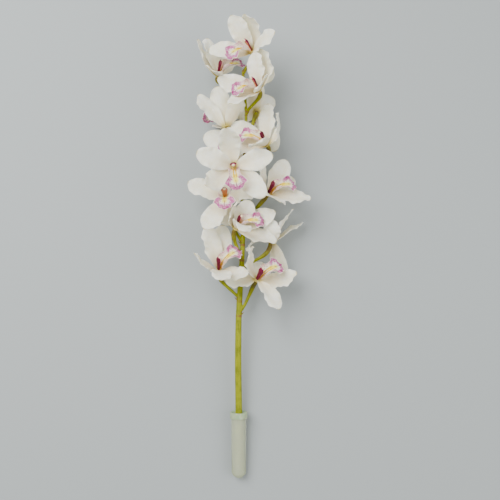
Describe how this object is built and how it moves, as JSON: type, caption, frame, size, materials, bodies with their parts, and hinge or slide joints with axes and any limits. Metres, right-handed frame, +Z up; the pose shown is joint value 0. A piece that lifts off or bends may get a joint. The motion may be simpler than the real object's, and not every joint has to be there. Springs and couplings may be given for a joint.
{
  "type": "cut orchid stem",
  "caption": "White cymbidium orchid spray cut for arranging, lying on a surface, its stem's end in a capped water tube that keeps it fresh.",
  "frame": {"origin": "on the surface that the spray lies on, under the middle of its bounding box", "axes": "+Y along the spray from the water tube to the tip, +Z up from the surface, +X to the right of someone who looks down on it with the tip ahead"},
  "size_m": [0.1986, 0.7406, 0.1427],
  "materials": {
    "sepal": "waxy ivory white, faint veins",
    "petal": "waxy ivory white, faint veins",
    "lip": "waxy white with a magenta pink band and a yellow crest",
    "column": "waxy maroon with a cream cap",
    "stem": "satin yellow green, olive and brown at the nodes",
    "tube": "frosted, see-through",
    "cap": "soft, pale green, milky",
    "water": "clear liquid, slightly yellow green"
  },
  "bodies": {
    "root": {"flower_stem": "stem", "sepals_01": "sepal", "petals_01": "petal", "lip_01": "lip", "column_01": "column", "sepals_02": "sepal", "petals_02": "petal", "lip_02": "lip", "column_02": "column", "sepals_03": "sepal", "petals_03": "petal", "lip_03": "lip", "column_03": "column", "sepals_04": "sepal", "petals_04": "petal", "lip_04": "lip", "column_04": "column", "sepals_05": "sepal", "petals_05": "petal", "lip_05": "lip", "column_05": "column", "sepals_06": "sepal", "petals_06": "petal", "lip_06": "lip", "column_06": "column", "sepals_07": "sepal", "petals_07": "petal", "lip_07": "lip", "column_07": "column", "sepals_08": "sepal", "petals_08": "petal", "lip_08": "lip", "column_08": "column", "sepals_09": "sepal", "petals_09": "petal", "lip_09": "lip", "column_09": "column", "sepals_10": "sepal", "petals_10": "petal", "lip_10": "lip", "column_10": "column", "sepals_11": "sepal", "petals_11": "petal", "lip_11": "lip", "column_11": "column", "sepals_12": "sepal", "petals_12": "petal", "lip_12": "lip", "column_12": "column", "sepals_13": "sepal", "petals_13": "petal", "lip_13": "lip", "column_13": "column", "sepals_14": "sepal", "petals_14": "petal", "lip_14": "lip", "column_14": "column", "water_tube": "tube", "tube_cap": "cap", "water": "water"}
  },
  "joints": []
}
